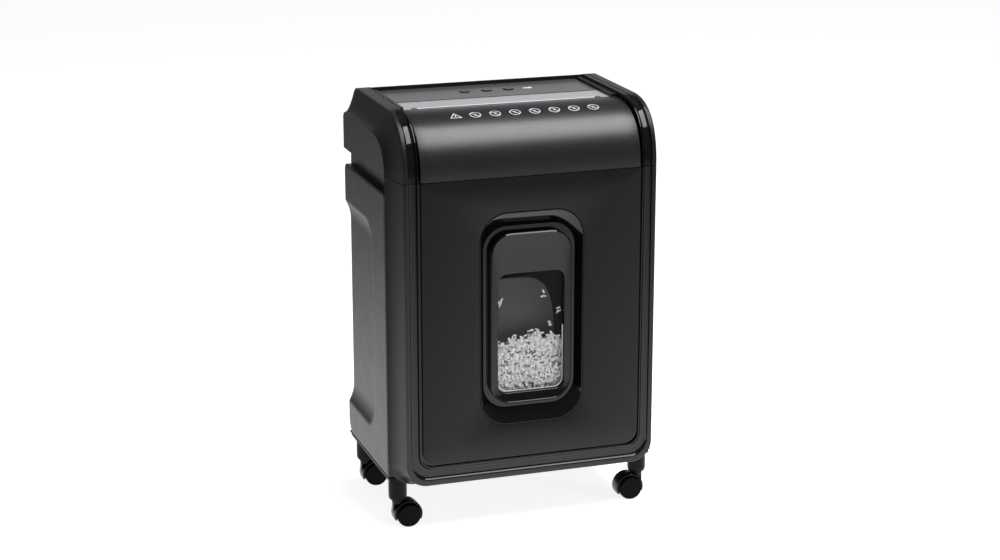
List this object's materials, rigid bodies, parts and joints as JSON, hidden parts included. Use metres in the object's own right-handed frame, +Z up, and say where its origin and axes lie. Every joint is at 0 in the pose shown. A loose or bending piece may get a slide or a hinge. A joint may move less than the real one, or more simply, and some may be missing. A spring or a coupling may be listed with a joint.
{
  "type": "paper shredder",
  "caption": "Upright office paper shredder with a top feed slot, a pull-out bin with a window and swivelling twin-wheel casters.",
  "frame": {"origin": "on the floor, under the middle of the cabinet's outline", "axes": "+X to the right seen from the front, +Y to the rear, +Z up; the bin front faces -Y"},
  "size_m": [0.361, 0.231, 0.541],
  "materials": {
    "satin_body": "satin moulded",
    "textured_black": "fine texture",
    "gloss_black": "high gloss",
    "inner_black": "plain moulded",
    "slot_band": "satin",
    "panel_grey": "gloss",
    "button_black": "gloss",
    "indicator": "translucent",
    "window_clear": "clear",
    "zinc_steel": "zinc plated",
    "cutter_steel": "hardened and oiled",
    "nylon": "natural nylon",
    "board_green": "solder mask",
    "caster_black": "semi-gloss moulded",
    "wheel_black": "satin moulded"
  },
  "bodies": {
    "root": {"head_shell": "satin_body", "side_panel_left": "satin_body", "side_panel_right": "satin_body", "back_panel": "satin_body", "barrel_cover": "textured_black", "channel_trim_left": "gloss_black", "channel_trim_right": "gloss_black", "head_tray": "inner_black", "cord_inlet": "inner_black", "motor": "inner_black", "paper_sensor": "inner_black", "interlock_switch": "inner_black", "cabinet_deck": "inner_black", "base_plate": "inner_black", "slot_guide": "slot_band", "control_panel": "panel_grey", "indicator_lens": "indicator", "stripper_front": "zinc_steel", "stripper_rear": "zinc_steel", "frame_plate_left": "zinc_steel", "frame_plate_right": "zinc_steel", "tie_rod_front": "zinc_steel", "tie_rod_rear": "zinc_steel", "bush_front_left": "nylon", "bush_front_right": "nylon", "bush_rear_left": "nylon", "bush_rear_right": "nylon", "control_board": "board_green"},
    "bin": {"bin_fascia": "gloss_black", "front_panel": "textured_black", "window_ring": "gloss_black", "window_insert": "gloss_black", "window_lens": "window_clear", "bin_tub": "inner_black"},
    "button_reverse": {"button_reverse": "button_black"},
    "button_auto": {"button_auto": "button_black"},
    "button_off": {"button_off": "button_black"},
    "cutter_rear": {"cutter_rear": "cutter_steel", "sync_gear_rear": "zinc_steel", "drive_gear": "zinc_steel"},
    "cutter_front": {"cutter_front": "cutter_steel", "sync_gear_front": "zinc_steel"},
    "idler": {"idler_gear": "nylon"},
    "motor_rotor": {"motor_shaft": "zinc_steel"},
    "interlock_lever": {"interlock_lever": "zinc_steel"},
    "caster_front_left": {"caster_hood_front_left": "caster_black"},
    "wheel_front_left_outer": {"wheel_front_left_outer": "wheel_black"},
    "wheel_front_left_inner": {"wheel_front_left_inner": "wheel_black"},
    "caster_front_right": {"caster_hood_front_right": "caster_black"},
    "wheel_front_right_outer": {"wheel_front_right_outer": "wheel_black"},
    "wheel_front_right_inner": {"wheel_front_right_inner": "wheel_black"},
    "caster_rear_left": {"caster_hood_rear_left": "caster_black"},
    "wheel_rear_left_outer": {"wheel_rear_left_outer": "wheel_black"},
    "wheel_rear_left_inner": {"wheel_rear_left_inner": "wheel_black"},
    "caster_rear_right": {"caster_hood_rear_right": "caster_black"},
    "wheel_rear_right_outer": {"wheel_rear_right_outer": "wheel_black"},
    "wheel_rear_right_inner": {"wheel_rear_right_inner": "wheel_black"}
  },
  "joints": [
    {"name": "bin_slide", "type": "slide", "parent": "root", "child": "bin", "axis": [0, -1, 0], "range_m": [0, 0.2]},
    {"name": "button_reverse_press", "type": "slide", "parent": "root", "child": "button_reverse", "axis": [0, 0, -1], "range_m": [0, 0.0012], "stiffness_N_per_m": 500},
    {"name": "button_auto_press", "type": "slide", "parent": "root", "child": "button_auto", "axis": [0, 0, -1], "range_m": [0, 0.0012], "stiffness_N_per_m": 500},
    {"name": "button_off_press", "type": "slide", "parent": "root", "child": "button_off", "axis": [0, 0, -1], "range_m": [0, 0.0012], "stiffness_N_per_m": 500},
    {"name": "cutter_rear_spin", "type": "hinge", "parent": "root", "child": "cutter_rear", "pos_m": [0, -0.0075, 0.493], "axis": [1, 0, 0], "continuous": true},
    {"name": "cutter_front_spin", "type": "hinge", "parent": "root", "child": "cutter_front", "pos_m": [0, -0.0335, 0.493], "axis": [1, 0, 0], "continuous": true},
    {"name": "idler_spin", "type": "hinge", "parent": "root", "child": "idler", "pos_m": [0, 0.0225, 0.493], "axis": [1, 0, 0], "continuous": true},
    {"name": "motor_spin", "type": "hinge", "parent": "root", "child": "motor_rotor", "pos_m": [0, 0.0465, 0.493], "axis": [1, 0, 0], "continuous": true},
    {"name": "interlock_pivot", "type": "hinge", "parent": "root", "child": "interlock_lever", "pos_m": [-0.116, -0.0415, 0.4425], "axis": [1, 0, 0], "range_deg": [-8, 0], "stiffness_Nm_per_rad": 0.02},
    {"name": "caster_front_left_swivel", "type": "hinge", "parent": "root", "child": "caster_front_left", "pos_m": [-0.165, -0.0669, 0.036], "axis": [0, 0, 1], "continuous": true},
    {"name": "wheel_front_left_outer_spin", "type": "hinge", "parent": "caster_front_left", "child": "wheel_front_left_outer", "pos_m": [-0.153, -0.0669, 0.0157], "axis": [0, 1, 0], "continuous": true},
    {"name": "wheel_front_left_inner_spin", "type": "hinge", "parent": "caster_front_left", "child": "wheel_front_left_inner", "pos_m": [-0.153, -0.0669, 0.0157], "axis": [0, 1, 0], "continuous": true},
    {"name": "caster_front_right_swivel", "type": "hinge", "parent": "root", "child": "caster_front_right", "pos_m": [0.165, -0.0669, 0.036], "axis": [0, 0, 1], "continuous": true},
    {"name": "wheel_front_right_outer_spin", "type": "hinge", "parent": "caster_front_right", "child": "wheel_front_right_outer", "pos_m": [0.153, -0.0669, 0.0157], "axis": [0, 1, 0], "continuous": true},
    {"name": "wheel_front_right_inner_spin", "type": "hinge", "parent": "caster_front_right", "child": "wheel_front_right_inner", "pos_m": [0.153, -0.0669, 0.0157], "axis": [0, 1, 0], "continuous": true},
    {"name": "caster_rear_left_swivel", "type": "hinge", "parent": "root", "child": "caster_rear_left", "pos_m": [-0.165, 0.0895, 0.036], "axis": [0, 0, 1], "continuous": true},
    {"name": "wheel_rear_left_outer_spin", "type": "hinge", "parent": "caster_rear_left", "child": "wheel_rear_left_outer", "pos_m": [-0.153, 0.0895, 0.0157], "axis": [0, 1, 0], "continuous": true},
    {"name": "wheel_rear_left_inner_spin", "type": "hinge", "parent": "caster_rear_left", "child": "wheel_rear_left_inner", "pos_m": [-0.153, 0.0895, 0.0157], "axis": [0, 1, 0], "continuous": true},
    {"name": "caster_rear_right_swivel", "type": "hinge", "parent": "root", "child": "caster_rear_right", "pos_m": [0.165, 0.0895, 0.036], "axis": [0, 0, 1], "continuous": true},
    {"name": "wheel_rear_right_outer_spin", "type": "hinge", "parent": "caster_rear_right", "child": "wheel_rear_right_outer", "pos_m": [0.153, 0.0895, 0.0157], "axis": [0, 1, 0], "continuous": true},
    {"name": "wheel_rear_right_inner_spin", "type": "hinge", "parent": "caster_rear_right", "child": "wheel_rear_right_inner", "pos_m": [0.153, 0.0895, 0.0157], "axis": [0, 1, 0], "continuous": true}
  ],
  "couplings": [
    {"joint": "cutter_front_spin", "follows": "cutter_rear_spin", "ratio": -1},
    {"joint": "idler_spin", "follows": "cutter_rear_spin", "ratio": -2.3333},
    {"joint": "motor_spin", "follows": "cutter_rear_spin", "ratio": 7}
  ]
}
